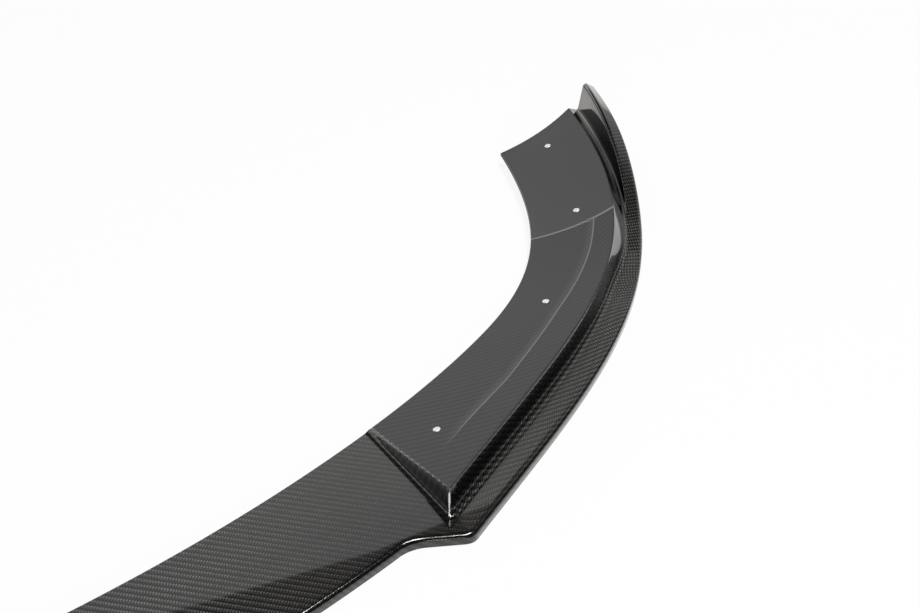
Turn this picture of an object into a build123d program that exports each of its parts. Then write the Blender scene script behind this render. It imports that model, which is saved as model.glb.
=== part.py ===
"""Front splitter lip: one moulded carbon fibre skin, and the blind rivets through its two seats.

Millimetres. X runs across the car, the front of the lip faces -Y and +Z is up. The lip rests on its
rim at Z = 0, and the origin is on the ground in the middle of its box. The +X half is modelled and
mirrored. Each side is lofted through upright sections. A section's place along the side is a station,
0 at the end wall behind the tooth and 1 at the rear end.
"""

import os
from math import asin, cos, degrees, radians, sin, sqrt

from build123d import *

# Overall size and laminate
overall_width = 1840.0  # across the rims of the two rear ends
overall_depth = 524.0  # from the front of the blade to the rear ends
skin = 2.5  # laminate thickness
rim_round = 5.5  # outer radius where the blade turns down into its rim

# Centre blade, and the tooth where it steps forward to the side blades
blade_top = 9.0  # height of the flat blade, and of the rim below it
blade_depth = 112.7  # inner edge to front edge
inner_radius = 1417.0  # of the inner edge in plan
tooth_run = 44.0  # across the car, from the valley to the tip of the tooth
valley_radius = 34.0
flank_overshoot = 1.5  # drawn length of the tooth's flank before the cut at the joint

# Seat: the raised, banked flange that carries the bumper, in plan
seat_start = 466.0  # distance of its inner front corner from the centre line
end_wall_toe = 3.0  # degrees that the end wall turns away from the car's axis
end_wall_length = 115.9
rear_rake = 4.2  # degrees that the rear end turns away from straight across
rear_seat_width = 90.6
rear_edge_sag = 6.0  # hollow of the seat's trimmed rear edge
inner_front_pull = 198.0  # tangent lengths of the seat's inner edge
inner_rear_pull = 214.0
inner_rear_heading = 75.6  # degrees from straight across
outer_front_pull = 256.0  # tangent lengths and headings of the top of the outer wall
outer_rear_pull = 270.0
outer_front_heading = 31.0
outer_rear_heading = 77.0

# Seat heights, outer wall, side blade and fin
seat_inner_height = 13.5
seat_inner_height_front = 10.0  # at the end wall
inner_lift_end = 0.3  # station where the inner edge has its full height
seat_outer_height_front = 30.0
seat_outer_height_rear = 39.5
seat_edge_round = 1.5
rise_start = 0.5  # station where the section begins to change
wall_run_front = 5.0  # plan width of the sloping outer wall
wall_run_rear = 13.0
wall_lean_end = 0.66  # station where the wall has its rear slope
channel_rise = 24.5  # climb of the foot of the wall towards the rear
channel_floor_front = 12.0  # flat between the foot of the wall and the fin
channel_floor_rear = 3.5
channel_round_front = 7.0  # fillet at the foot of the wall
channel_round_rear = 2.5
fin_start = 0.7
fin_height = 32.0
fin_lean = 0.09  # outward run of the fin for each millimetre of its height
fin_band_fall = 0.28  # outward slope of the band on top of the fin
fin_tip_fall = 0.66  # the same at the rear tip
fin_tip_start = 0.86  # station where the band starts to steepen
fin_corner = 2.0  # radius of the fin's rear top corner, seen from the side
rim_reach_end = 34.0  # from the top of the wall out to the rim, at both ends of the side
rim_reach_middle = 29.0
reach_narrows = (0.05, 0.55)  # stations between which the side blade narrows
reach_widens = (0.6, 1.0)  # and widens again
span_steps = 5  # steps between the sections of each lofted span

# Blind rivets: station and distance in from the top of the wall
rivet_places = ((0.061, 52.9), (0.427, 41.9), (0.734, 36.0), (0.947, 42.4))
rivet_shank = 3.2
rivet_head = 6.5
rivet_head_height = 1.1
rivet_head_slope = 55.0  # degrees that the side of the head leans in
rivet_recess = 2.0  # left in the head by the broken mandrel
rivet_recess_depth = 0.7
rivet_tail = 5.0  # set end behind the laminate
rivet_tail_length = 4.0
rivet_play = 0.05  # all-round clearance of the shank, and under the head


def ease(station, start, end):
    """0 before start, 1 after end, with a smooth rise between."""
    s = min(max((station - start) / (end - start), 0.0), 1.0)
    return s * s * (3 - 2 * s)


def heading(angle):
    return Vector(cos(radians(angle)), sin(radians(angle)))


def arc_point(radius, x):
    """Point at x on an arc about the blade's centre of curvature."""
    return Vector(x, arc_centre_y - sqrt(radius**2 - x**2))


def curve_point(poles, s):
    """Point of the cubic curve with these four poles."""
    a, b, c, d = poles
    r = 1 - s
    return a * r**3 + b * (3 * r * r * s) + c * (3 * r * s * s) + d * s**3


# Plan points that the curves hang on
front_y = -overall_depth / 2
front_radius = inner_radius + blade_depth
arc_centre_y = front_y + front_radius
end_wall_out = heading(end_wall_toe - 90)
rear_out = heading(rear_rake)
inner_start = arc_point(inner_radius, seat_start)
outer_start = inner_start + end_wall_out * end_wall_length
tooth_tip = outer_start + end_wall_out * rim_reach_end
rear_corner = Vector(overall_width / 2, overall_depth / 2)
outer_end = rear_corner - rear_out * rim_reach_end
inner_end = outer_end - rear_out * rear_seat_width
inner_front_heading = degrees(asin(seat_start / inner_radius))

inner_poles = (
    inner_start,
    inner_start + heading(inner_front_heading) * inner_front_pull,
    inner_end - heading(inner_rear_heading) * inner_rear_pull,
    inner_end,
)
outer_poles = (
    outer_start,
    outer_start + heading(outer_front_heading) * outer_front_pull,
    outer_end - heading(outer_rear_heading) * outer_rear_pull,
    outer_end,
)


def section_plane(station):
    """Upright plane across the side: x outward from the top of the wall, y up, z to the front."""
    outer = curve_point(outer_poles, station)
    outward = outer - curve_point(inner_poles, station)
    return Plane(outer, x_dir=outward, z_dir=outward.cross(Vector(0, 0, 1)))


def top_line(station):
    """Upper side of the laminate, from the seat's inner edge to the foot of the rim."""
    inner = curve_point(inner_poles, station)
    width = (curve_point(outer_poles, station) - inner).length
    lift = ease(station, 0, inner_lift_end)
    seat_inner = seat_inner_height_front + (seat_inner_height - seat_inner_height_front) * lift
    bank = ease(station, rise_start, 1)
    seat_outer = seat_outer_height_front + (seat_outer_height_rear - seat_outer_height_front) * bank
    lean = ease(station, rise_start, wall_lean_end)
    wall_run = wall_run_front + (wall_run_rear - wall_run_front) * lean
    climb = max(station - rise_start, 0) / (1 - rise_start)
    channel = blade_top + channel_rise * climb**1.5
    fin = fin_height * ease(station, fin_start, 1)
    narrow = ease(station, rise_start, fin_start)
    channel_floor = channel_floor_front + (channel_floor_rear - channel_floor_front) * narrow
    crest = wall_run + channel_floor + fin_lean * fin
    waist = ease(station, *reach_narrows) - ease(station, *reach_widens)
    reach = rim_reach_end - (rim_reach_end - rim_reach_middle) * waist
    fall = fin_band_fall + (fin_tip_fall - fin_band_fall) * ease(station, fin_tip_start, 1)
    rim = channel + fin - fall * (reach - crest) * fin / fin_height
    return [
        Vector(-width, seat_inner),
        Vector(0, seat_outer),
        Vector(wall_run, channel),
        Vector(crest, channel + fin),
        Vector(reach, rim),
        Vector(reach, rim - blade_top),
    ]


def beneath(line, depth):
    """The same line moved square to itself by depth, to its lower side, with an upright trimmed edge."""
    normals = [Vector(b.Y - a.Y, a.X - b.X).normalized() for a, b in zip(line, line[1:])]
    before = normals
    after = normals[1:] + [normals[-1]]
    moved = [p + (m + n) * (depth / (1 + m.dot(n))) for p, m, n in zip(line[1:], before, after)]
    return [line[0] + Vector(0, depth / normals[0].Y)] + moved


def section(station):
    """Closed outline of the laminate, rounded at the seat's edge, the channel and the rim."""
    plane = section_plane(station)
    upper = [plane.from_local_coords(point) for point in top_line(station)]
    lower = [plane.from_local_coords(point) for point in beneath(top_line(station), skin)]
    outline = Face(Wire.make_polygon(upper + lower[::-1]))
    lean = ease(station, rise_start, wall_lean_end)
    channel_round = channel_round_front + (channel_round_rear - channel_round_front) * lean
    rounds = (
        (upper[1], seat_edge_round),
        (upper[2], channel_round),
        (upper[4], rim_round),
        (lower[4], rim_round - skin),
    )
    for corner, radius in rounds:
        outline = outline.fillet_2d(radius, outline.vertices().sort_by_distance(corner)[:1])
    return outline


def seat_point(station, inset):
    """Point on top of the seat, inset from the top of the wall."""
    inner, outer = top_line(station)[:2]
    height = outer.Y + (inner.Y - outer.Y) * inset / (outer.X - inner.X)
    return section_plane(station).from_local_coords(Vector(-inset, height))


def rivet_plane(station, inset):
    """Plane on the seat's surface under a rivet head, z square to the seat."""
    place = seat_point(station, inset)
    outward = seat_point(station, inset - rivet_head) - place
    along = seat_point(station + 0.01, inset) - place
    return Plane(place, x_dir=outward, z_dir=outward.cross(along))


joint_plane = section_plane(0)
rear_plane = section_plane(1)
fin_tip = rear_plane.from_local_coords(top_line(1)[3])
fin_corner_plane = Plane(fin_tip, x_dir=rear_plane.z_dir, z_dir=-rear_plane.x_dir)
rivet_planes = [rivet_plane(*place) for place in rivet_places]

# Centre blade with its rim, drawn past the joint and cut off there
valley = arc_point(front_radius, tooth_tip.X - tooth_run)
past_tip = valley + (tooth_tip - valley) * flank_overshoot
past_seat = arc_point(inner_radius, past_tip.X)
with BuildPart() as centre:
    with BuildLine() as front_edge:
        ThreePointArc((0, front_y), arc_point(front_radius, valley.X / 2), valley)
        Line(valley, past_tip)
        fillet(front_edge.vertices().sort_by_distance(valley)[0], valley_radius)
    with BuildSketch(Plane.XY.offset(blade_top - skin)):
        with BuildLine():
            add(front_edge.line)
            Line(past_tip, past_seat)
            inner_middle = arc_point(inner_radius, past_seat.X / 2)
            ThreePointArc(past_seat, inner_middle, (0, front_y + blade_depth))
            Line((0, front_y + blade_depth), (0, front_y))
        make_face()
    extrude(amount=skin)
    with BuildSketch():
        with BuildLine():
            add(front_edge.line)
            offset(amount=skin, side=Side.LEFT)
        make_face()
    extrude(amount=blade_top)
    for inset, radius in ((0, rim_round), (skin, rim_round - skin)):
        rim_places = [
            drawn @ 0.5 + (drawn % 0.5).rotate(Axis.Z, 90) * inset + Vector(0, 0, blade_top - inset)
            for drawn in front_edge.edges()
        ]
        rim_edges = [centre.edges().sort_by_distance(place)[0] for place in rim_places]
        fillet(rim_edges, radius)
    split(bisect_by=joint_plane, keep=Keep.TOP)

# End wall that closes the front of the raised seat
with BuildPart() as end_wall:
    with BuildSketch(joint_plane):
        with BuildLine():
            edge = beneath(top_line(0), skin / 2)[:3]
            Polyline(*edge, (edge[0].X, blade_top - skin), close=True)
        make_face()
    extrude(amount=-skin)

with BuildPart() as lip:
    for start, end in ((0, rise_start), (rise_start, fin_start), (fin_start, 1)):
        step = (end - start) / span_steps
        loft([section(start + step * count) for count in range(span_steps + 1)])
    with BuildSketch(fin_corner_plane):
        Rectangle(2 * fin_corner, 2 * fin_corner)
        with Locations((fin_corner, -fin_corner)):
            Circle(fin_corner, mode=Mode.SUBTRACT)
    extrude(amount=rim_reach_end, both=True, mode=Mode.SUBTRACT)
    with BuildSketch():
        with BuildLine():
            deepest = (inner_end + outer_end) / 2 + rear_plane.z_dir * rear_edge_sag
            behind = rear_plane.z_dir * -skin
            ThreePointArc(inner_end, deepest, outer_end)
            Polyline(outer_end, outer_end + behind, inner_end + behind, inner_end)
        make_face()
    extrude(amount=2 * seat_outer_height_rear, mode=Mode.SUBTRACT)
    add(end_wall.part)
    add(centre.part)
    for plane in rivet_planes:
        with BuildSketch(plane):
            Circle(rivet_shank / 2 + rivet_play)
        extrude(amount=2 * skin, both=True, mode=Mode.SUBTRACT)
    mirror(about=Plane.YZ)

# Blind rivet, set in each hole of both seats
with BuildPart() as rivet:
    with BuildSketch(Plane.XY.offset(rivet_play)):
        Circle(rivet_head / 2)
    extrude(amount=rivet_head_height, taper=rivet_head_slope)
    with BuildSketch(rivet.faces().sort_by(Axis.Z)[-1]):
        Circle(rivet_recess / 2)
    extrude(amount=-rivet_recess_depth, mode=Mode.SUBTRACT)
    with BuildSketch(Plane.XY.offset(rivet_play)):
        Circle(rivet_shank / 2)
    extrude(amount=-skin - 2 * rivet_play)
    with BuildSketch(Plane.XY.offset(-skin - rivet_play)):
        Circle(rivet_tail / 2)
    extrude(amount=-rivet_tail_length)

with BuildPart() as rivets:
    with Locations(*rivet_planes):
        add(rivet.part)
    mirror(about=Plane.YZ)

os.makedirs("parts", exist_ok=True)
lip.part.label = "lip_moulding"
export_step(lip.part, "parts/lip_moulding.step")
rivets.part.label = "blind_rivets"
export_step(rivets.part, "parts/blind_rivets.step")
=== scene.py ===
# %% [markdown]
# # A carbon fibre front splitter lip
#
# The lip is one thin moulded skin that hangs under a car's front bumper: a flat centre blade, a tooth
# where the blade steps forward, a raised seat on each side that carries the bumper, and a fin that
# rises at each rear end. The CAD model fixes every size. This lesson dresses it: a fine mesh of the
# same form with softer moulded edges, woven carbon under clear coat, bright rivets and studio light.

from math import asin, cos, degrees, pi, radians, sin, sqrt, tan

import bmesh
import bpy
import numpy as np
from mathutils import Matrix, Vector


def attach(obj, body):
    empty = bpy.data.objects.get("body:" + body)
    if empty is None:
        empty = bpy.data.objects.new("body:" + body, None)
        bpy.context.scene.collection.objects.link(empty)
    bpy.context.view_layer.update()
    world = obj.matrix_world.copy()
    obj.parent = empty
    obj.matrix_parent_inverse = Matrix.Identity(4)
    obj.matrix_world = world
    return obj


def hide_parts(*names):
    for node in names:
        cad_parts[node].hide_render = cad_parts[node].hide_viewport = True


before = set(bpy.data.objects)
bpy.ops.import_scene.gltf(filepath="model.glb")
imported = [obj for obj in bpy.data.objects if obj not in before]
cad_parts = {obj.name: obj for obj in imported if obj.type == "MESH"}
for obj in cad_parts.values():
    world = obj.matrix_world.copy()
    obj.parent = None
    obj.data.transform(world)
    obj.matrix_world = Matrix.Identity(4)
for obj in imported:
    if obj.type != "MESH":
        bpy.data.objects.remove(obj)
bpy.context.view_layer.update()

# %% [markdown]
# ## The plan
#
# Everything hangs on two plan curves for each side: the inner edge of the seat, and the top of the
# outer wall. Both are cubic curves given by four poles, as in the CAD model, so a point on the mesh
# lies where the solid has it. Lengths are in millimetres until the mesh is made.

# %% Sizes and plan curves
OVERALL_WIDTH, OVERALL_DEPTH = 1840.0, 524.0
SKIN, BLADE_TOP, BLADE_DEPTH = 2.5, 9.0, 112.7
INNER_RADIUS = 1417.0
FRONT_RADIUS = INNER_RADIUS + BLADE_DEPTH
TOOTH_RUN, VALLEY_RADIUS = 44.0, 34.0
SEAT_START, END_WALL_TOE, END_WALL_LENGTH = 466.0, 3.0, 115.9
REAR_RAKE, REAR_SEAT_WIDTH, REAR_SAG = 4.2, 90.6, 6.0
RIM_REACH_END, RIM_REACH_MIDDLE = 34.0, 29.0
INNER_PULLS, INNER_END_HEADING = (198.0, 214.0), 75.6
OUTER_PULLS, OUTER_START_HEADING, OUTER_END_HEADING = (256.0, 270.0), 31.0, 77.0
ARC_CENTRE_Y = -OVERALL_DEPTH / 2 + FRONT_RADIUS


def ease(value, start, end):
    s = np.clip((value - start) / (end - start), 0.0, 1.0)
    return s * s * (3 - 2 * s)


def heading(angle):
    return np.array((cos(radians(angle)), sin(radians(angle))))


def arc_point(radius, x):
    return np.array((x, ARC_CENTRE_Y - sqrt(radius**2 - x**2)))


def curve_point(poles, s):
    a, b, c, d = poles
    r = 1 - s
    return a * r**3 + b * (3 * r * r * s) + c * (3 * r * s * s) + d * s**3


def plan_poles(start, start_heading, end, end_heading, pulls):
    """Poles of a plan curve that leaves its start and meets its end at these headings."""
    return start, start + heading(start_heading) * pulls[0], end - heading(end_heading) * pulls[1], end


inner_start = arc_point(INNER_RADIUS, SEAT_START)
joint_out = heading(END_WALL_TOE - 90)
joint_along = np.array((-joint_out[1], joint_out[0]))
outer_start = inner_start + joint_out * END_WALL_LENGTH
tooth_tip = outer_start + joint_out * RIM_REACH_END
rear_out = heading(REAR_RAKE)
outer_end = np.array((OVERALL_WIDTH / 2, OVERALL_DEPTH / 2)) - rear_out * RIM_REACH_END
inner_end = outer_end - rear_out * REAR_SEAT_WIDTH
inner_start_heading = degrees(asin(SEAT_START / INNER_RADIUS))
inner_poles = plan_poles(inner_start, inner_start_heading, inner_end, INNER_END_HEADING, INNER_PULLS)
outer_poles = plan_poles(outer_start, OUTER_START_HEADING, outer_end, OUTER_END_HEADING, OUTER_PULLS)

walk = np.linspace(0, 1, 1001)
walked = np.array([curve_point(outer_poles, s) for s in walk])
wall_length = np.concatenate(([0], np.cumsum(np.linalg.norm(np.diff(walked, axis=0), axis=1))))
print("wall runs", round(wall_length[-1]), "mm from the tooth to the rear end")

# %% [markdown]
# ## The section
#
# A cut across a side is a bent line: seat, wall, channel, fin, band and rim. Only its corners change
# along the side, so one function gives the corners and another rounds them off. Rounding with small
# arcs keeps the same number of points at every cut, even where a corner flattens out, and that
# lets the cuts be joined into a clean grid of quads.

# %% Corners of a cut across the side
SEAT_INNER_FRONT, SEAT_INNER_GAIN, SEAT_INNER_FULL = 10.0, 3.5, 0.3
SEAT_OUTER_FRONT, SEAT_OUTER_GAIN = 30.0, 9.5
WALL_RUN_FRONT, WALL_RUN_GAIN, WALL_RUN_FULL = 5.0, 8.0, 0.66
CHANNEL_FLOOR_FRONT, CHANNEL_FLOOR_LOSS, CHANNEL_RISE = 12.0, 8.5, 24.5
CLIMB_START = 0.5
FIN_HEIGHT, FIN_LEAN, FIN_START, FIN_CORNER = 32.0, 0.09, 0.7, 1.2
BAND_FALL, BAND_FALL_GAIN, BAND_FALL_START = 0.28, 0.38, 0.86
WAIST_START, WAIST_FULL, WAIST_LEFT = 0.05, 0.55, 0.6


def side_corners(station):
    """Upper corners of the cut at this station: distance out from the top of the wall, and height."""
    outer, inner = curve_point(outer_poles, station), curve_point(inner_poles, station)
    width = np.linalg.norm(outer - inner)
    seat_inner = SEAT_INNER_FRONT + SEAT_INNER_GAIN * ease(station, 0, SEAT_INNER_FULL)
    seat_outer = SEAT_OUTER_FRONT + SEAT_OUTER_GAIN * ease(station, CLIMB_START, 1)
    wall_run = WALL_RUN_FRONT + WALL_RUN_GAIN * ease(station, CLIMB_START, WALL_RUN_FULL)
    climb = max((station - CLIMB_START) / (1 - CLIMB_START), 0)
    channel = BLADE_TOP + CHANNEL_RISE * climb**1.5
    fin = FIN_HEIGHT * ease(station, FIN_START, 1)
    floor = CHANNEL_FLOOR_FRONT - CHANNEL_FLOOR_LOSS * ease(station, CLIMB_START, FIN_START)
    crest = wall_run + floor + FIN_LEAN * fin
    waist = ease(station, WAIST_START, WAIST_FULL) - ease(station, WAIST_LEFT, 1)
    reach = RIM_REACH_END - (RIM_REACH_END - RIM_REACH_MIDDLE) * waist
    fall = BAND_FALL + BAND_FALL_GAIN * ease(station, BAND_FALL_START, 1)
    rim = channel + fin - fall * (reach - crest) * fin / FIN_HEIGHT
    corners = [(-width, seat_inner), (0, seat_outer), (wall_run, channel), (crest, channel + fin)]
    return np.array(corners + [(reach, rim), (reach, rim - BLADE_TOP)])


def end_drop(station):
    """How far the fin's upper face is rounded down at its rear end."""
    from_end = max(wall_length[-1] - np.interp(station, walk, wall_length), 0)
    return FIN_CORNER - sqrt(FIN_CORNER**2 - max(FIN_CORNER - from_end, 0) ** 2)


def beneath(line, depth):
    """The same bent line moved square to itself, with an upright trimmed edge."""
    step = np.diff(line, axis=0)
    normals = np.stack((step[:, 1], -step[:, 0]), axis=1)
    normals /= np.linalg.norm(normals, axis=1)[:, None]
    after = np.vstack((normals[1:], normals[-1:]))
    mitre = (normals + after) * (depth / (1 + (normals * after).sum(axis=1)))[:, None]
    return np.vstack((line[0] + (0, depth / normals[0, 1]), line[1:] + mitre))


for station in (0.0, 0.7, 1.0):
    print("corners at", station, side_corners(station).round(1).tolist())

# %% Round the corners and space the points
SEAT_EDGE_ROUND, CHANNEL_ROUND, CREST_ROUND, RIM_ROUND = 1.0, 8.0, 1.8, 5.5
USUAL_ROUNDS = CHANNEL_ROUND, CREST_ROUND, RIM_ROUND
TRIM_BEVEL, HEM_BEVEL = 0.35, 0.4
CREASE_HEIGHT = 0.32
CREASE_OFFSETS = np.array((-0.9, -0.45, 0.0, 0.45, 0.9))
CREASE_SHAPE = np.array((0.12, 0.72, 1.0, 0.72, 0.12))
CREASE_STATIONS = 0.0, 0.1, 0.2, 0.4, 0.5, 0.6, 0.7
CREASE_INSETS = 34.0, 32.0, 26.5, 26.0, 23.0, 20.5, 19.5


def rounded_corner(before, corner, after, radius, count, least=0.8):
    """Points of an arc that rounds one corner."""
    arrive, leave = corner - before, after - corner
    long_in, long_out = np.linalg.norm(arrive), np.linalg.norm(leave)
    turn = np.arccos(np.clip((arrive @ leave) / (long_in * long_out), -1, 1))
    reach = min(max(radius * tan(turn / 2), least), 0.45 * long_in, 0.45 * long_out)
    s = np.linspace(0, 1, count)[:, None]
    first, last = corner - arrive / long_in * reach, corner + leave / long_out * reach
    pull = 2 * s * (1 - s) * np.cos(turn / 2)
    return (first * (1 - s) ** 2 + corner * pull + last * s**2) / ((1 - s) ** 2 + pull + s**2)


def between(first, last, count):
    """Points spaced inside a straight run, without its ends."""
    s = np.linspace(0, 1, count + 2)[1:-1, None]
    return first * (1 - s) + last * s


def section_line(corners, crease_at, crease_height=0.0, rounds=USUAL_ROUNDS, drop=0.0):
    """Closed line of the skin at one cut, and the places in it where the finish changes."""
    channel_round, crest_round, rim_round = rounds
    low = beneath(corners, SKIN)
    corners = corners - np.outer((0, 0, 0, 1, 1, 0), (0, drop))
    top = rounded_corner(corners[0], corners[1], corners[2], SEAT_EDGE_ROUND, 7)
    foot = rounded_corner(corners[1], corners[2], corners[3], channel_round, 9)
    crest = rounded_corner(corners[2], corners[3], corners[4], crest_round, 8)
    rim = rounded_corner(corners[3], corners[4], corners[5], rim_round, 10)
    slope = (corners[1] - corners[0]) / (corners[1, 0] - corners[0, 0])
    before_crease, after_crease = crease_at - 2 - corners[0, 0], top[0, 0] - crease_at - 2
    seat_at = corners[0, 0] + np.concatenate(([TRIM_BEVEL], np.linspace(0, 1, 10)[1:-1] * before_crease))
    seat_at = np.concatenate((seat_at, crease_at + CREASE_OFFSETS))
    seat_at = np.concatenate((seat_at, crease_at + 2 + np.linspace(0, 1, 7)[:-1] * after_crease))
    seat = corners[0] + slope * (seat_at - corners[0, 0])[:, None]
    seat[9:14, 1] += crease_height * CREASE_SHAPE
    hem = corners[5]
    upper = [corners[0] - (0, TRIM_BEVEL), seat, top, between(top[-1], foot[0], 5), foot]
    upper += [between(foot[-1], crest[0], 3), crest, between(crest[-1], rim[0], 4), rim]
    upper += [between(rim[-1], hem, 2), hem + (0, HEM_BEVEL), hem - (HEM_BEVEL, 0)]
    lower = [low[5], between(low[5], low[4], 2), low[4], between(low[4], low[3], 3), low[3]]
    lower += [between(low[3], low[2], 2), low[2], between(low[2], low[1], 4), low[1]]
    lower += [between(low[1], low[0], 9), low[0]]
    upper, lower = [np.atleast_2d(p) for p in upper], [np.atleast_2d(p) for p in lower]
    marks = {"seat": (1, 1 + len(seat)), "wall": 1 + len(seat) + len(top), "upper": sum(map(len, upper))}
    marks["fin"] = marks["wall"] + 5 + len(foot) + 3 + 3
    return np.vstack(upper + lower), marks


def crease_place(station):
    return -np.interp(station, CREASE_STATIONS, CREASE_INSETS)


first_line, marks = section_line(side_corners(0.0), crease_place(0.0))
print(len(first_line), "points in each cut, marks", marks)

# %% [markdown]
# ## The end wall
#
# Behind the tooth the seat starts with a wall across the blade. Its outline, a foot fillet and a
# steep slope, is drawn once. Every point near the joint then takes the lower of two heights, the
# seat's and the wall's, with a soft brow where they cross. So the wall, its foot and the upright
# corner at the outer wall come out as one moulded form with no seam in the grid.

# %% Outline of the end wall, from blade to seat
END_WALL_FOOT, END_WALL_TOP, END_WALL_FILLET, BROW = -3.6, 0.6, 5.0, 6.0
rise = side_corners(0.0)[1, 1] - BLADE_TOP
over_top = 1.2 * rise
wall_corners = np.array(((-14.0, 0.0), (END_WALL_FOOT, 0.0), (END_WALL_TOP, over_top), (9.0, over_top)))
wall_foot = rounded_corner(wall_corners[0], wall_corners[1], wall_corners[2], END_WALL_FILLET, 13)
wall_top = between(wall_foot[-1], wall_corners[2], 14)
wall_outline = np.vstack((wall_foot, wall_top, wall_corners[2:]))
on_top = np.arange(len(first_line)) < marks["upper"]
base = np.where(on_top, BLADE_TOP, BLADE_TOP - SKIN)


def joint_profile(rows):
    """Distance out and height above the blade along one face of the joint's cut."""
    line = first_line[rows]
    line = line[np.argsort(line[:, 0], kind="stable")]
    return line[:, 0], np.maximum(line[:, 1] - base[rows].max(), 0)


upper_profile, lower_profile = joint_profile(on_top), joint_profile(~on_top)


def softer_of(first, second):
    """The lower of two heights, with a soft brow where they cross."""
    lower = np.minimum(first, second)
    reach = np.minimum(BROW, 1.2 * np.maximum(lower, 1e-6))
    overlap = np.maximum(reach - np.abs(first - second), 0)
    return lower - overlap**2 / (4 * reach)


# Mask of the painted highlight streak on the upright corner.
def corner_glint(first, second):
    """1 on the upright corner, where the two walls cross, and 0 away from it."""
    row, low = np.arange(len(first_line)), np.minimum(first, second)
    upright = (row >= marks["wall"] - 1) & (row < marks["wall"] + 14) & (low < rise - 1.5)
    width = np.minimum(0.3 + 0.45 * low, 5.5)
    return np.exp(-(((first - second) / width) ** 2)) * upright * ease(low, 0.5, 1.2)


def wall_height(ahead):
    return np.interp(ahead, wall_outline[:, 0], wall_outline[:, 1])


def end_heights(across, ahead):
    """Heights above the blade of the seat's cut and of the end wall, for a cut near the joint."""
    seat = np.where(on_top, np.interp(across, *upper_profile), np.interp(across, *lower_profile))
    return seat, wall_height(ahead - np.where(on_top, 0, SKIN))


print("end wall", round(rise, 1), "mm high at the outer corner")

# %% [markdown]
# ## The front edge
#
# The centre blade ends in a long arc. A soft valley then turns it out to the tooth. The edge is
# drawn as one plan line, and each cut across the blade runs from the inner edge out to that line.

# %% Plan line of the front edge
TIP_CUT, TIP_CUT_RUN = 1.5, 6.5
valley = arc_point(FRONT_RADIUS, tooth_tip[0] - TOOTH_RUN)
far_back = arc_point(FRONT_RADIUS, valley[0] - 40)
valley_bend = rounded_corner(far_back, valley, tooth_tip, VALLEY_RADIUS, 25)
arc_run = np.array([arc_point(FRONT_RADIUS, x) for x in np.linspace(0, valley_bend[0, 0], 120)[:-1]])
past_tip = tooth_tip + (tooth_tip - valley_bend[-1])
front_line = np.vstack((arc_run, valley_bend, tooth_tip, past_tip))


def tip_cut(away):
    """How far the tooth's tip is rounded back, at a distance from it along the rim."""
    return TIP_CUT * max(1 - abs(away) / TIP_CUT_RUN, 0) ** 2


def front_distance(start, out):
    """Distance from a point on the inner edge to the front line, along out."""
    distance = BLADE_DEPTH
    for _ in range(12):
        y = np.interp(start[0] + distance * out[0], front_line[:, 0], front_line[:, 1])
        distance = (y - start[1]) / out[1]
    return distance


middle_depth = front_distance(arc_point(INNER_RADIUS, 0), np.array((0.0, -1.0)))
print("blade is", round(middle_depth, 1), "mm deep at the middle")

# %% [markdown]
# ## Cuts along the lip
#
# The cuts lie close together where something happens, at the end wall, the moulding seam and the
# fin's rounded corner, and further apart elsewhere. Each cut also carries cloth coordinates: where
# each point would lie on the flat cloth. The cloth lies nearly square to the car on the centre blade,
# and on the sides it is turned and a little stretched, as woven cloth is when it is laid into a mould.
#
# Three more values ride on the points. The first paints highlights into the colour: light lines on the
# seam and the crease, and a white streak on the upright corner. The plain value says how far the weave
# fades out, and the third which tone is left there: the seat's own satin tone and the mean weave tone on
# the rim, but painted shade on the steep walls and the fin's inner face and a painted reflection at the
# fin's rear tip. Painting them on the points is simpler than hunting for the same places again inside
# a material.

# %% Lie of the cloth and places of the cuts
SEAM_HEIGHT, SEAM_HALF_WIDTH = 0.45, 0.95
SEAM_AT_WALL, SEAM_LEAN, SEAM_BOW = 436.8, 44, 24.5
MEAN_LIGHT = 0.25
CENTRE_CLOTH = np.array(((0.979, -0.060), (-0.124, 0.995)))


def cloth_axes(turn, stretch):
    """Cloth steps for a millimetre along the side and for one across it, with the cloth turned."""
    along = np.stack((np.cos(turn), np.sin(turn)), axis=-1) * np.reshape(stretch, (-1, 1))
    return along, np.stack((along[..., 1], -along[..., 0]), axis=-1)


laid = ease(wall_length, 0, 50)[:, None]
stretch = 1.06 - 0.14 * ease(walk, 0.36, 0.44) + 0.18 * ease(walk, 0.6, 0.7)
blade_along, blade_across = cloth_axes(np.radians(-12 + 51 * ease(walk, 0.42, 0.6)), stretch)
blade_along = CENTRE_CLOTH @ heading(OUTER_START_HEADING) * (1 - laid) + blade_along * laid
blade_across = CENTRE_CLOTH @ joint_out * (1 - laid) + blade_across * laid
blade_cloth = np.vstack(((0, 0), np.cumsum(blade_along[1:] * np.diff(wall_length)[:, None], axis=0)))
blade_cloth += CENTRE_CLOTH @ outer_start
seat_along, seat_across = [axis[0] for axis in cloth_axes(np.radians([-5.0]), 0.92)]


def station_at(length):
    return np.interp(length, wall_length, walk)


def seam_at(inset):
    """Length along the wall where the seam crosses, inset 0 at the wall and 1 at the inner edge."""
    return SEAM_AT_WALL - SEAM_LEAN * inset + SEAM_BOW * inset**2


near_joint = np.concatenate((np.arange(0.25, 3.1, 0.25), (3.6, 4.4, 5.4)))
even = np.concatenate((np.linspace(6.5, 24, 8), np.arange(28, wall_length[-1] - 10, 4.5)))
over_seam = np.arange(414, 440, 0.45)
even = even[(even < over_seam[0] - 2) | (even > over_seam[-1] + 2)]
last_turn = wall_length[-1] - FIN_CORNER * (1 - np.cos(np.linspace(pi / 2, 0, 9)))
side_lengths = np.concatenate(([0.0], near_joint, even, over_seam, last_turn))
side_stations = np.clip(np.sort(station_at(side_lengths)), 0, 1)
print(len(side_stations), "places for cuts along a side")

# %% Rounds and tones along a side
RIM_PLAIN = 0.7


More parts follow.
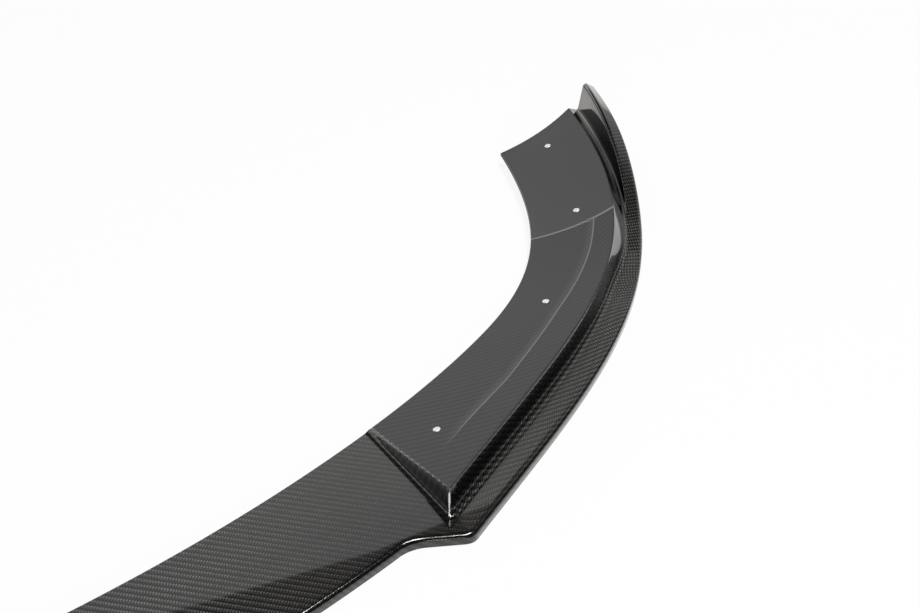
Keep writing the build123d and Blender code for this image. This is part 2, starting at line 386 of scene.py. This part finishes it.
def side_rounds(station):
    """Rounds of the channel, the fin's crest and the rim."""
    channel_round = CHANNEL_ROUND - 6 * ease(station, 0.64, 0.76)
    crest_round = CREST_ROUND + 1.6 * ease(station, 0.76, 0.96)
    return channel_round, crest_round, RIM_ROUND - 2.5 * ease(station, 0.35, 0.5)


def side_tones(station, length, past_seam, on_seat):
    """How plain each point of a cut is, 0 with clear weave and 1 with none, and the tone left there, with
    painted shade and painted reflection.
    """
    trimmed = np.exp(-(((wall_length[-1] - length) / 1.1) ** 2))
    plain, tone_and_painted_light = 0.9 * on_seat * ease(past_seam, 0, 2), 0.95 * on_seat * (1 - trimmed)
    wall, foot, band, rim = marks["wall"], marks["wall"] + 5, marks["fin"] + 12, marks["fin"] + 14
    # On the outer wall the weave fades to the dark tone: painted shade.
    plain[wall - 2 : foot] = 0.6 + 0.4 * ease(station, 0.5, 0.56)
    plain[foot + 9 : rim] = 0.7 * (1 - ease(length, 0, 240))
    plain[foot : marks["fin"]] += ease(station, FIN_START, 0.75)
    plain[marks["fin"] : band] += ease(station, 0.84, 0.95)
    plain[rim : marks["upper"]] = RIM_PLAIN
    # Past 250 mm the tone left turns dark: painted shade on the channel and the fin's inner face.
    tone_and_painted_light[foot:rim] = MEAN_LIGHT * (1 - ease(length, 250, 300))
    # Painted reflection: the fin's rear tip takes a light tone.
    tone_and_painted_light[foot:band] += 0.7 * ease(station, 0.9, 0.985)
    tone_and_painted_light[rim : marks["upper"]] = MEAN_LIGHT
    return plain, tone_and_painted_light


print("channel, crest and rim rounds at the rear end", np.round(side_rounds(1.0), 1).tolist())


# %% Cut across a side
def side_cut(station):
    """Points of a cut, their cloth on the blade and on the seat, painted highlight, plain and tone values.
    """
    outer = curve_point(outer_poles, station)
    out = outer - curve_point(inner_poles, station)
    out /= np.linalg.norm(out)
    length = np.interp(station, walk, wall_length)
    fade = ease(station, 0.03, 0.12) * (length < seam_at(0.24))
    corners = side_corners(station)
    corners[4:, 0] -= tip_cut(length)
    crease = CREASE_HEIGHT * fade
    line, _ = section_line(corners, crease_place(station), crease, side_rounds(station), end_drop(station))
    inset = np.clip(line[:, :1] / corners[0, 0], 0, 1)
    past_seam = 0.9 * (length - seam_at(inset[:, 0]))
    on_seat = np.arange(len(line)) < marks["wall"] - 2
    # The seam's mask raises a low ridge and paints a highlight line along it; the crease gets a fainter
    # painted highlight.
    painted_highlight = np.exp(-((past_seam / SEAM_HALF_WIDTH) ** 2)) * on_seat
    line[:, 1] += SEAM_HEIGHT * painted_highlight
    painted_highlight[10:15] = np.maximum(painted_highlight[10:15], 0.55 * fade * CREASE_SHAPE)
    plain, tone_and_painted_light = side_tones(station, length, past_seam, on_seat)
    hollow = REAR_SAG * 4 * inset * (1 - inset) * ease(station, 0.95, 1)
    plan = outer + line[:, :1] * out + hollow * np.array((out[1], -out[0]))
    height = line[:, 1].copy()
    ahead = (plan - outer_start) @ joint_along
    close = ahead < 8
    over, under = np.maximum(height - base, 0), wall_height(ahead - np.where(on_top, 0, SKIN))
    # The upright corner takes a painted highlight streak.
    painted_highlight = np.maximum(painted_highlight, corner_glint(over, under) * close)
    height = np.where(close, np.minimum(height, base) + softer_of(over, under), height)
    run = np.concatenate(([0], np.cumsum(np.linalg.norm(np.diff(line, axis=0), axis=1))))
    across = run - run[marks["wall"] - 4]
    spot = [np.interp(station, walk, row) for row in (*blade_cloth.T, *blade_across.T)]
    on_blade = np.array(spot[:2]) + across[:, None] * np.array(spot[2:])
    over_seat = length * seat_along + across[:, None] * seat_across
    return np.column_stack((plan, height)), on_blade, over_seat, painted_highlight, plain, tone_and_painted_light


side_cuts = [side_cut(station) for station in side_stations[::-1]]
print(len(side_cuts), "cuts along a side")

# %% Cuts across the centre blade
before_joint = np.concatenate((np.linspace(-10, -6, 5)[:-1], np.arange(-6, -0.1, 0.3)))
bend_x = np.linspace(400, SEAT_START - 11, 26)
centre_x = np.concatenate((np.linspace(0, 395, 56), bend_x, SEAT_START + before_joint))


def centre_cut(x):
    """The same for the cut that starts at x on the inner edge of the centre blade."""
    start = arc_point(INNER_RADIUS, x)
    out = heading(END_WALL_TOE * ease(x, 200, 430) - 90)
    distance = front_distance(start, out)
    corners = side_corners(0.0)
    inner_rows = first_line[:, 0] < corners[3, 0]
    shrink = (distance - 12) / (END_WALL_LENGTH + RIM_REACH_END - 12)
    corners[:4, 0] = (corners[:4, 0] + END_WALL_LENGTH) * shrink - END_WALL_LENGTH
    corners[4:, 0] = distance - tip_cut(SEAT_START - x) - END_WALL_LENGTH
    corners[:5, 1] = BLADE_TOP
    crease = (crease_place(0.0) + END_WALL_LENGTH) * shrink - END_WALL_LENGTH
    line, _ = section_line(corners, crease)
    line[inner_rows, 0] = (first_line[inner_rows, 0] + END_WALL_LENGTH) * shrink - END_WALL_LENGTH
    plan = start + (line[:, :1] + END_WALL_LENGTH) * out
    offset = plan - outer_start
    across, ahead = offset @ joint_out, offset @ joint_along
    seat, wall = end_heights(across, ahead)
    lifted = softer_of(seat, wall)
    height = line[:, 1] + lifted
    run = np.concatenate(([0], np.cumsum(np.linalg.norm(np.diff(line, axis=0), axis=1))))
    flat = (start + run[:, None] * out) @ CENTRE_CLOTH.T
    # Painted highlight streak on the upright corner.
    glint = corner_glint(seat, wall)
    # Towards the tooth the weave fades and the tone left grows darker; on the end wall it is painted shade.
    plain = np.where(lifted > 1.5, 0.7, 0.75 * ease(x, 200, 440))
    plain[marks["fin"] + 14 : marks["upper"]] = RIM_PLAIN
    tone_and_painted_light = np.full(len(line), MEAN_LIGHT * (1 - 0.6 * ease(x, 200, 450)))
    return np.column_stack((plan, height)), flat, flat, glint, plain, tone_and_painted_light


centre_cuts = [centre_cut(x) for x in centre_x[::-1]]
print(len(centre_cuts), "cuts across half of the centre blade")

# %% [markdown]
# ## One skin
#
# The cuts of one half are mirrored for the other, and neighbouring cuts are joined by quads. The two
# open ends are closed with a strip of triangles each, because one face with many corners would
# stretch straight across the hollow rear edge. Faces on the seats take the satin finish, faces below
# take the duller inside of the moulding, and all the rest is clear-coated.

# %% Join the cuts into the moulding
SATIN_START, SHARP_FOLD = 1.3, 38
half = side_cuts + centre_cuts
points = np.array([cut[0] for cut in half])
points = np.concatenate((points, (points * (-1, 1, 1))[-2::-1]))
carried = [np.array([cut[k] for cut in half]) for k in range(1, 6)]
cloth, seat_cloth, painted_highlight, plain, tone_and_painted_light = [np.concatenate((values, values[-2::-1])) for values in carried]
rings, count = points.shape[:2]
satin_rings = int((side_stations > station_at(SATIN_START)).sum()) - 1
on_seat = np.minimum(np.arange(rings - 1), np.arange(rings - 1)[::-1]) < satin_rings


def end_cap(ring):
    """Triangles that close an open end, from the upper line of its cut to the lower line."""
    flat = np.column_stack((ring[:, :2] @ rear_out, ring[:, 2]))

    def new_edge(triangle, first, last):
        """Length of the edge that a triangle adds, or endless where it would be turned over."""
        (ax, ay), (bx, by) = flat[triangle[1]] - flat[triangle[0]], flat[triangle[2]] - flat[triangle[0]]
        return np.linalg.norm(flat[first] - flat[last]) if ax * by < ay * bx else float("inf")

    triangles, up, low = [], 0, count - 1
    while low - up > 1:
        go_up, go_low = (up, up + 1, low), (up, low - 1, low)
        above = new_edge(go_up, up + 1, low) if up < marks["upper"] - 1 else float("inf")
        below = new_edge(go_low, up, low - 1) if low > marks["upper"] else float("inf")
        if above <= below:
            triangles.append(go_up)
            up += 1
        else:
            triangles.append(go_low)
            low -= 1
    return np.array(triangles)


def moulding_mesh():
    """The joined cuts as a mesh with material numbers and cloth coordinates."""
    mesh = bpy.data.meshes.new("carbon_skin")
    index = np.arange(rings * count).reshape(rings, count)
    after = np.roll(index, -1, axis=1)
    quads = np.stack((index[:-1], index[1:], after[1:], after[:-1]), axis=-1).reshape(-1, 4)
    caps = np.concatenate([index[end][end_cap(points[0])] for end in (0, -1)])
    faces = quads.tolist() + caps.tolist()
    mesh.from_pydata((points.reshape(-1, 3) * 0.001).tolist(), [], faces)
    finish = np.zeros((rings - 1, count), dtype=np.int32)
    finish[:, marks["upper"] :] = 2
    finish[on_seat, marks["seat"][0] : marks["seat"][1]] = 1
    finish[on_seat, marks["seat"][1] : marks["wall"] - 1] = 2
    numbers = np.append(finish.ravel(), [2] * len(caps)).astype(np.int32)
    mesh.polygons.foreach_set("material_index", numbers)
    layer = mesh.uv_layers.new(name="cloth")
    corner = np.zeros(len(mesh.loops), dtype=np.int32)
    mesh.loops.foreach_get("vertex_index", corner)
    sizes = [len(face) for face in faces]
    satin_corner = np.repeat(np.append(finish.ravel() == 1, [False] * len(caps)), sizes)[:, None]
    laid_out = np.where(satin_corner, seat_cloth.reshape(-1, 2)[corner], cloth.reshape(-1, 2)[corner])
    layer.data.foreach_set("uv", (laid_out * 0.001).ravel())
    for name, values in (("painted_highlight", painted_highlight), ("plain", plain), ("tone_and_painted_light", tone_and_painted_light)):
        layer = mesh.attributes.new(name, "FLOAT", "POINT")
        layer.data.foreach_set("value", values.ravel().astype(np.float32))
    build = bmesh.new()
    build.from_mesh(mesh)
    bmesh.ops.recalc_face_normals(build, faces=build.faces)
    build.to_mesh(mesh)
    build.free()
    mesh.shade_smooth()
    mesh.set_sharp_from_angle(angle=radians(SHARP_FOLD))
    return mesh


moulding = bpy.data.objects.new("carbon_skin", moulding_mesh())
bpy.context.scene.collection.objects.link(moulding)
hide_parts("lip_moulding")
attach(moulding, "root")
print(rings, "cuts,", len(moulding.data.polygons), "faces in the moulding")

# %% [markdown]
# ## Blind rivets
#
# A blind rivet is pulled tight by a mandrel that snaps off inside its head. What stays is a low dome
# with a round pit and the broken stub at the bottom of the pit. Turning one profile gives that shape,
# and a bulged tail on the hidden side. Each rivet stands square to the seat.

# %% Turn the rivets
RIVET_PLACES = ((0.061, 52.9), (0.427, 41.9), (0.734, 36.0), (0.947, 42.4))
RIVET_PROFILE = (
    (0.0, 0.52), (0.55, 0.5), (0.82, 0.36), (0.92, 0.34), (0.98, 0.5), (1.02, 0.95), (1.12, 1.07),
    (1.3, 1.12), (1.9, 1.02), (2.5, 0.83), (2.95, 0.6), (3.18, 0.42), (3.25, 0.28), (3.22, 0.1),
    (3.1, 0.02), (1.62, 0.02), (1.62, -2.5), (2.3, -2.52), (2.55, -3.0), (2.6, -3.9), (2.3, -5.0),
    (1.7, -5.6), (1.1, -5.75), (1.0, -6.3), (0.0, -6.4),
)
RIVET_TURNS = 40


def seat_point(station, inset):
    corners = side_corners(station)
    outer = curve_point(outer_poles, station)
    out = outer - curve_point(inner_poles, station)
    out /= np.linalg.norm(out)
    height = corners[1, 1] + (corners[0, 1] - corners[1, 1]) * inset / -corners[0, 0]
    return np.array((*(outer - out * inset), height))


def rivet_matrix(station, inset, side):
    place = seat_point(station, inset)
    out = seat_point(station, inset - 5) - place
    along = seat_point(station + 0.01, inset) - place
    flip = np.array((side, 1, 1))
    place, out, along = place * flip, Vector(out * flip).normalized(), Vector(along * flip)
    up = out.cross(along).normalized() * side
    turned = Matrix((out, up.cross(out), up)).transposed().to_4x4()
    return Matrix.Translation(Vector(place) * 0.001) @ turned @ Matrix.Scale(0.001, 4)


def rivets_mesh():
    build = bmesh.new()
    for side in (1, -1):
        for station, inset in RIVET_PLACES:
            spot = rivet_matrix(station, inset, side)
            rows = []
            for radius, height in RIVET_PROFILE:
                turns = RIVET_TURNS if radius > 0 else 1
                angles = [2 * pi * k / turns for k in range(turns)]
                turned = [Vector((radius * cos(a), radius * sin(a), height)) for a in angles]
                rows.append([build.verts.new(spot @ point) for point in turned])
            for upper, lower in zip(rows, rows[1:]):
                for k in range(RIVET_TURNS):
                    around = (upper, k), (lower, k), (lower, k + 1), (upper, k + 1)
                    face = [row[turn % len(row)] for row, turn in around]
                    build.faces.new(list(dict.fromkeys(face)))
    bmesh.ops.recalc_face_normals(build, faces=build.faces)
    mesh = bpy.data.meshes.new("rivets")
    build.to_mesh(mesh)
    build.free()
    mesh.shade_smooth()
    mesh.set_sharp_from_angle(angle=radians(50))
    return mesh


rivets = bpy.data.objects.new("rivets", rivets_mesh())
bpy.context.scene.collection.objects.link(rivets)
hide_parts("blind_rivets")
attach(rivets, "root")
print(len(rivets.data.polygons), "faces in the rivets")

# %% [markdown]
# ## Woven carbon
#
# The cloth is a two by two twill: each flat tow of fibres passes over two others and under the next
# two, one step further along in every row, and that makes the diagonal lines. The node group below
# works this out from the cloth coordinates. It counts tows both ways, decides which one is on top,
# and puts out a mask for the top tow, a height for its crown and a tone that differs from tow to tow.
# Under a lamp a tow lights up only where its crown faces the light, so the real cloth shows rows of
# small bright dots. Two crossed waves give these dots as one more output, called Spot. A picture of
# carbon cloth would be quicker, but it would blur close up and could not follow the turned cloth.
# All three finishes use the group with their own values.

# %% Node helpers
def math_node(tree, operation, first, second=None, third=None, clamp=False):
    """A Math node whose inputs are links or plain numbers."""
    node = tree.nodes.new("ShaderNodeMath")
    node.operation = operation
    node.use_clamp = clamp
    for socket, value in zip(node.inputs, (first, second, third)):
        if value is None:
            continue
        if isinstance(value, (int, float)):
            socket.default_value = value
        else:
            tree.links.new(value, socket)
    return node.outputs[0]


def group_sockets(tree, inputs, outputs):
    """Named sockets on a node group, inputs with their usual values."""
    for name, kind, value in inputs:
        socket = tree.interface.new_socket(name, in_out="INPUT", socket_type=kind)
        if value is not None:
            socket.default_value = value
    for name, kind in outputs:
        tree.interface.new_socket(name, in_out="OUTPUT", socket_type=kind)


print("two node helpers defined")

# %% Twill cloth group
TOW_WIDTH = 0.0017


def twill_group():
    tree = bpy.data.node_groups.new("twill cloth", "ShaderNodeTree")
    outputs = [(name, "NodeSocketFloat") for name in ("Weft On Top", "Crown", "Tone", "Fibre", "Spot")]
    inputs = ("Cloth", "NodeSocketVector", None), ("Tow Width", "NodeSocketFloat", TOW_WIDTH)
    group_sockets(tree, inputs, outputs)
    given, given_out = tree.nodes.new("NodeGroupInput"), tree.nodes.new("NodeGroupOutput")
    split = tree.nodes.new("ShaderNodeSeparateXYZ")
    tree.links.new(given.outputs["Cloth"], split.inputs[0])
    a = math_node(tree, "DIVIDE", split.outputs[0], given.outputs["Tow Width"])
    b = math_node(tree, "DIVIDE", split.outputs[1], given.outputs["Tow Width"])
    i, j = math_node(tree, "FLOOR", a), math_node(tree, "FLOOR", b)
    fa, fb = math_node(tree, "FRACT", a), math_node(tree, "FRACT", b)
    step = math_node(tree, "FLOORED_MODULO", math_node(tree, "ADD", i, j), 4.0)
    weft = math_node(tree, "GREATER_THAN", step, 1.5)
    warp = math_node(tree, "SUBTRACT", 1.0, weft)

    def crown(position):
        """1 in the middle of a span, 0 at both ends."""
        return math_node(tree, "PINGPONG", math_node(tree, "MULTIPLY", position, 2.0), 1.0)

    def on_top_tow(for_warp, for_weft):
        """The value that belongs to the tow on top."""
        return math_node(tree, "MULTIPLY_ADD", for_warp, warp, math_node(tree, "MULTIPLY", for_weft, weft))

    warp_run = math_node(tree, "MULTIPLY", math_node(tree, "ADD", step, fb), 0.5)
    weft_step = math_node(tree, "SUBTRACT", step, 2.0)
    weft_run = math_node(tree, "MULTIPLY", math_node(tree, "ADD", weft_step, fa), 0.5)
    wide, long = on_top_tow(crown(fa), crown(fb)), on_top_tow(crown(warp_run), crown(weft_run))
    high = math_node(tree, "POWER", math_node(tree, "MULTIPLY", wide, long), 0.5)

    def wave(position, period, middle):
        """1 at the middle of each period, 0 half a period away."""
        turned = math_node(tree, "MULTIPLY", math_node(tree, "SUBTRACT", position, middle), 2 * pi / period)
        return math_node(tree, "MULTIPLY_ADD", math_node(tree, "COSINE", turned), 0.5, 0.5)

    row = wave(math_node(tree, "ADD", a, b), 4.0, 3.5)
    spot = math_node(tree, "MULTIPLY", row, wave(math_node(tree, "SUBTRACT", a, b), 2.0, 0.5))
    tow = on_top_tow(i, math_node(tree, "ADD", j, 517.3))
    tone = tree.nodes.new("ShaderNodeTexWhiteNoise")
    tone.noise_dimensions = "1D"
    tree.links.new(tow, tone.inputs["W"])
    across, along = on_top_tow(a, b), on_top_tow(b, a)
    strand = tree.nodes.new("ShaderNodeCombineXYZ")
    tree.links.new(math_node(tree, "MULTIPLY", across, 9.0), strand.inputs[0])
    tree.links.new(math_node(tree, "MULTIPLY", along, 0.5), strand.inputs[1])
    fibre = tree.nodes.new("ShaderNodeTexNoise")
    fibre.inputs["Scale"].default_value = 1.0
    fibre.inputs["Detail"].default_value = 1.0
    tree.links.new(strand.outputs[0], fibre.inputs["Vector"])
    made = {"Weft On Top": weft, "Crown": high, "Spot": spot}
    made.update({"Tone": tone.outputs["Value"], "Fibre": fibre.outputs["Fac"]})
    for name, socket in made.items():
        tree.links.new(socket, given_out.inputs[name])
    return tree


twill = twill_group()
print("twill group has", len(twill.nodes), "nodes")

# %% [markdown]
# ## Three finishes of the same laminate
#
# Clear coat turns carbon glossy: the light first meets a smooth coat that mirrors the room, then the
# woven tows under it. So the bump goes to the base layer only and the coat keeps its own smooth
# normal. The seats are rubbed down to a satin grey that still shows a trace of weave, with painted
# highlight lines along the seam and the crease. The inside of the moulding is dull and a little rough,
# and so is the thin edge of the seat, which reads as a dark line. On the upright corner a painted
# highlight makes a white streak: the value that paints it also takes away the coat and the metal there.

# %% Carbon materials
def blend(tree, first, second, factor):
    """first where factor is 0, second where it is 1."""
    return math_node(tree, "MULTIPLY_ADD", math_node(tree, "SUBTRACT", second, first), factor, first)


def attribute(tree, name):
    node = tree.nodes.new("ShaderNodeAttribute")
    node.attribute_name = name
    return node.outputs["Fac"]


COAT_ROUGHNESS, TOW_RELIEF, PLAIN_CROWN = 0.015, 0.0002, 0.45


def carbon_material(name, dark, light, spread, warp_rough, weft_rough, plain_rough, bump, highlight_tone,
                    coat=0.0, coat_gap=0.0, metallic=0.0):
    """A carbon finish: tow colours, how much tows differ, roughness of each tow and the coat over them."""
    material = bpy.data.materials.new(name)
    material.use_nodes = True
    tree = material.node_tree
    shader = tree.nodes["Principled BSDF"]
    place = tree.nodes.new("ShaderNodeUVMap")
    place.uv_map = "cloth"
    weave = tree.nodes.new("ShaderNodeGroup")
    weave.node_tree = twill
    tree.links.new(place.outputs["UV"], weave.inputs["Cloth"])
    vary = math_node(tree, "MULTIPLY_ADD", weave.outputs["Tone"], spread, 1 - 0.5 * spread)
    strands = math_node(tree, "MULTIPLY_ADD", weave.outputs["Fibre"], 0.5, 0.75)
    vary = math_node(tree, "MULTIPLY", vary, strands)
    lit = math_node(tree, "MULTIPLY", weave.outputs["Spot"], vary, clamp=True)
    plain = attribute(tree, "plain")
    # Where the weave fades, the colour takes the tone set on the points, painted shade and painted
    # reflection among them.
    lit = blend(tree, lit, attribute(tree, "tone_and_painted_light"), plain)
    colour = tree.nodes.new("ShaderNodeMix")
    colour.data_type = "RGBA"
    colour.inputs["A"].default_value = (*dark, 1)
    colour.inputs["B"].default_value = (*light, 1)
    tree.links.new(lit, colour.inputs["Factor"])
    highlight_mix = tree.nodes.new("ShaderNodeMix")
    highlight_mix.data_type = "RGBA"
    highlight_mix.inputs["B"].default_value = (highlight_tone, highlight_tone, highlight_tone, 1)
    # Painted highlight: a pale tone in place of the colour, with no coat and no metal there.
    highlight_paint = attribute(tree, "painted_highlight")
    tree.links.new(highlight_paint, highlight_mix.inputs["Factor"])
    tree.links.new(colour.outputs["Result"], highlight_mix.inputs["A"])
    tree.links.new(highlight_mix.outputs["Result"], shader.inputs["Base Color"])
    weft_on_top = weave.outputs["Weft On Top"]
    tow_rough = math_node(tree, "MULTIPLY_ADD", weft_on_top, weft_rough - warp_rough, warp_rough)
    tree.links.new(blend(tree, tow_rough, plain_rough, plain), shader.inputs["Roughness"])
    relief = tree.nodes.new("ShaderNodeBump")
    relief.inputs["Strength"].default_value = bump
    relief.inputs["Distance"].default_value = TOW_RELIEF
    smooth = blend(tree, weave.outputs["Crown"], PLAIN_CROWN, plain)
    tree.links.new(smooth, relief.inputs["Height"])
    coated = math_node(tree, "MULTIPLY_ADD", smooth, coat * coat_gap, coat * (1 - coat_gap), clamp=True)
    tree.links.new(math_node(tree, "SUBTRACT", coated, highlight_paint, clamp=True), shader.inputs["Coat Weight"])
    tree.links.new(relief.outputs["Normal"], shader.inputs["Normal"])
    tree.links.new(math_node(tree, "MULTIPLY_ADD", highlight_paint, -metallic, metallic), shader.inputs["Metallic"])
    shader.inputs["Coat Roughness"].default_value = COAT_ROUGHNESS
    return material


gloss = carbon_material(
    "clear-coated carbon", dark=(0.008, 0.008, 0.008), light=(0.235, 0.228, 0.214), spread=0.5,
    warp_rough=0.3, weft_rough=0.26, plain_rough=0.12, bump=0.4, highlight_tone=0.95,
    coat=1.25, coat_gap=0.6, metallic=0.95,
)
satin = carbon_material(
    "satin carbon", dark=(0.026, 0.0252, 0.0270), light=(0.046, 0.0446, 0.0474), spread=0.3,
    warp_rough=0.5, weft_rough=0.46, plain_rough=0.48, bump=0.1, highlight_tone=0.30,
)
inside = carbon_material(
    "moulding inside", dark=(0.010, 0.010, 0.010), light=(0.030, 0.030, 0.031), spread=0.6,
    warp_rough=0.62, weft_rough=0.55, plain_rough=0.6, bump=0.4, highlight_tone=0.30,
)
for finish in (gloss, satin, inside):
    moulding.data.materials.append(finish)
print("finishes", [m.name for m in moulding.data.materials])

# %% [markdown]
# ## Bright rivets
#
# A rivet head is plain drawn aluminium, bright but never a mirror. A fine grain varies its roughness
# and its tone a little, and a low metallic value keeps it pale under the dark room.

# %% Rivet aluminium
def rivet_material():
    """Bright aluminium with a fine grain."""
    material = bpy.data.materials.new("rivet aluminium")
    material.use_nodes = True
    tree = material.node_tree
    shader = tree.nodes["Principled BSDF"]
    place = tree.nodes.new("ShaderNodeTexCoord")
    grain = tree.nodes.new("ShaderNodeTexNoise")
    grain.inputs["Scale"].default_value = 900.0
    grain.inputs["Detail"].default_value = 3.0
    tree.links.new(place.outputs["Object"], grain.inputs["Vector"])
    rough = math_node(tree, "MULTIPLY_ADD", grain.outputs["Fac"], 0.16, 0.34)
    tree.links.new(rough, shader.inputs["Roughness"])
    colour = tree.nodes.new("ShaderNodeMix")
    colour.data_type = "RGBA"
    colour.inputs["A"].default_value = (0.86, 0.86, 0.86, 1)
    colour.inputs["B"].default_value = (0.95, 0.95, 0.95, 1)
    tree.links.new(grain.outputs["Fac"], colour.inputs["Factor"])
    tree.links.new(colour.outputs["Result"], shader.inputs["Base Color"])
    shader.inputs["Metallic"].default_value = 0.4
    return material


rivets.data.materials.append(rivet_material())
print("rivets take", rivets.data.materials[0].name)

# %% [markdown]
# ## Studio
#
# Gloss black shows the room more than itself, so the room is part of the finish. It could be built
# from panels, but the world's colour, mixed by direction, gives the same mirror image with fewer
# things to place. The room is dark with one white wall behind the lip. The wall's tilted top edge
# draws the crisp change of tone on the flat blade. Below it a low skirt, dark at the left and white at
# the right, shades the steep walls, and a soft bank at the right lights the fin. Strips of light
# overhead and in front give the sharp lines along the edges. The floor is white and keeps a soft
# shadow.

# %% Floor
FLOOR_HALF, FLOOR_LEVEL = 8.0, -0.0003


def floor_material():
    """White paper that the camera and mirrors see as white, and that still takes the lip's shadow."""
    material = bpy.data.materials.new("pale floor")
    material.use_nodes = True
    tree = material.node_tree
    tree.nodes.clear()
    out = tree.nodes.new("ShaderNodeOutputMaterial")
    paper = tree.nodes.new("ShaderNodeBsdfDiffuse")
    paper.inputs["Color"].default_value = (0.95, 0.95, 0.95, 1)
    white = tree.nodes.new("ShaderNodeEmission")
    white.inputs["Color"].default_value = (1, 1, 1, 1)
    ray = tree.nodes.new("ShaderNodeLightPath")
    seen = math_node(tree, "MAXIMUM", ray.outputs["Is Camera Ray"], ray.outputs["Is Glossy Ray"])
    seen = math_node(tree, "MAXIMUM", seen, ray.outputs["Is Transmission Ray"])
    mixed = tree.nodes.new("ShaderNodeMixShader")
    tree.links.new(math_node(tree, "MULTIPLY", seen, 0.9), mixed.inputs[0])
    tree.links.new(paper.outputs[0], mixed.inputs[1])
    tree.links.new(white.outputs[0], mixed.inputs[2])
    tree.links.new(mixed.outputs[0], out.inputs["Surface"])
    return material


sheet = bpy.data.meshes.new("floor")
signs = (-1, -1), (1, -1), (1, 1), (-1, 1)
floor_corners = [(x * FLOOR_HALF, y * FLOOR_HALF, FLOOR_LEVEL) for x, y in signs]
sheet.from_pydata(floor_corners, [], [(0, 1, 2, 3)])
floor = bpy.data.objects.new("floor", sheet)
bpy.context.scene.collection.objects.link(floor)
sheet.materials.append(floor_material())
print("floor laid")

# %% Room
WALL_TOP, WALL_TILT, WALL_TOP_CRISP = 1.0357, 0.1414, 300.0
WALL_END, WALL_WHITE, WALL_DIM, SKIRT_TOP = 0.76, 1.12, 0.5, 0.45
DARK = 0.06
BANK_TOWARD, BANK_EDGE, BANK_LIGHT = (0.76, 0.36, 0.54), 0.93, 0.7


def room_world():
    """A dark room with a white wall behind the lip, a low skirt under it and a soft bank at the right."""
    world = bpy.data.worlds.new("studio room")
    world.use_nodes = True
    tree = world.node_tree
    back = tree.nodes["Background"]
    place = tree.nodes.new("ShaderNodeTexCoord")
    split = tree.nodes.new("ShaderNodeSeparateXYZ")
    tree.links.new(place.outputs["Generated"], split.inputs[0])
    x, y, z = split.outputs
    deep = math_node(tree, "MAXIMUM", y, 0.001)
    sideways = math_node(tree, "DIVIDE", x, deep)
    upward = math_node(tree, "DIVIDE", z, deep)
    along_edge = math_node(tree, "MINIMUM", sideways, 0.5)
    top_edge = math_node(tree, "MULTIPLY_ADD", along_edge, WALL_TILT, WALL_TOP)
    under_edge = math_node(tree, "SUBTRACT", top_edge, upward)
    low = math_node(tree, "MULTIPLY", under_edge, WALL_TOP_CRISP, clamp=True)
    left_of_edge = math_node(tree, "SUBTRACT", WALL_END, sideways)
    wall = blend(tree, WALL_DIM, WALL_WHITE, math_node(tree, "MULTIPLY", left_of_edge, 7.0, clamp=True))
    skirt = math_node(tree, "MULTIPLY", math_node(tree, "SUBTRACT", SKIRT_TOP, upward), 10.0, clamp=True)
    to_right = math_node(tree, "MULTIPLY_ADD", sideways, 2.0, 0.9, clamp=True)
    wall = blend(tree, wall, blend(tree, DARK, 1.0, to_right), skirt)
    shade = blend(tree, DARK, wall, low)
    toward = 0.0
    for axis, part in zip((z, y, x), BANK_TOWARD[::-1]):
        toward = math_node(tree, "MULTIPLY_ADD", axis, part, toward)
    bank = math_node(tree, "MULTIPLY", math_node(tree, "SUBTRACT", toward, BANK_EDGE), 20.0, clamp=True)
    shade = math_node(tree, "MAXIMUM", shade, math_node(tree, "MULTIPLY", bank, BANK_LIGHT))
    grey = tree.nodes.new("ShaderNodeCombineColor")
    for socket in grey.inputs:
        tree.links.new(shade, socket)
    tree.links.new(grey.outputs[0], back.inputs["Color"])
    back.inputs["Strength"].default_value = 1.0
    return world


bpy.context.scene.world = room_world()
print("room", bpy.context.scene.world.name)


# %% Strips of light
def strip_light(name, place, aim, width, length, watts):
    lamp = bpy.data.lights.new(name, "AREA")
    lamp.shape = "RECTANGLE"
    lamp.size, lamp.size_y = width, length
    lamp.energy = watts
    holder = bpy.data.objects.new(name, lamp)
    holder.location = place
    holder.rotation_euler = (Vector(aim) - Vector(place)).to_track_quat("-Z", "Y").to_euler()
    bpy.context.scene.collection.objects.link(holder)
    return holder


strips = [
    strip_light("overhead strip", (1.2, -0.95, 4.0), (0.5, -0.05, 0.0), width=2.2, length=0.6, watts=130.0),
    strip_light("front strip", (-0.6, -2.0, 0.5), (0.45, -0.2, 0.0), width=0.6, length=0.4, watts=20.0),
]
print("lit by", [strip.name for strip in strips])

# %% [markdown]
# ## Camera
#
# The photograph looks down on one front corner of the lip from about a metre, with a normal lens. The
# camera's place, turn and lens were fitted to the outline, so that the render lies over the photograph.

# %% Camera
PHOTO_WIDTH, FOCAL_PIXELS, SENSOR_WIDTH = 920, 1500, 36.0
CAMERA_PLACE, YAW, PITCH_DOWN = (0.0421, -0.9177, 0.8061), 31, 35.5
lens = bpy.data.cameras.new("camera")
lens.sensor_width = SENSOR_WIDTH
lens.lens = SENSOR_WIDTH * FOCAL_PIXELS / PHOTO_WIDTH
lens.clip_end = 50.0
viewer = bpy.data.objects.new("camera", lens)
viewer.location = CAMERA_PLACE
viewer.rotation_euler = (radians(90 - PITCH_DOWN), 0, radians(-YAW))
bpy.context.scene.collection.objects.link(viewer)
bpy.context.scene.camera = viewer
bpy.context.scene.view_settings.view_transform = "Standard"
print("camera at", tuple(viewer.location), "with a lens of", round(lens.lens, 1), "mm")
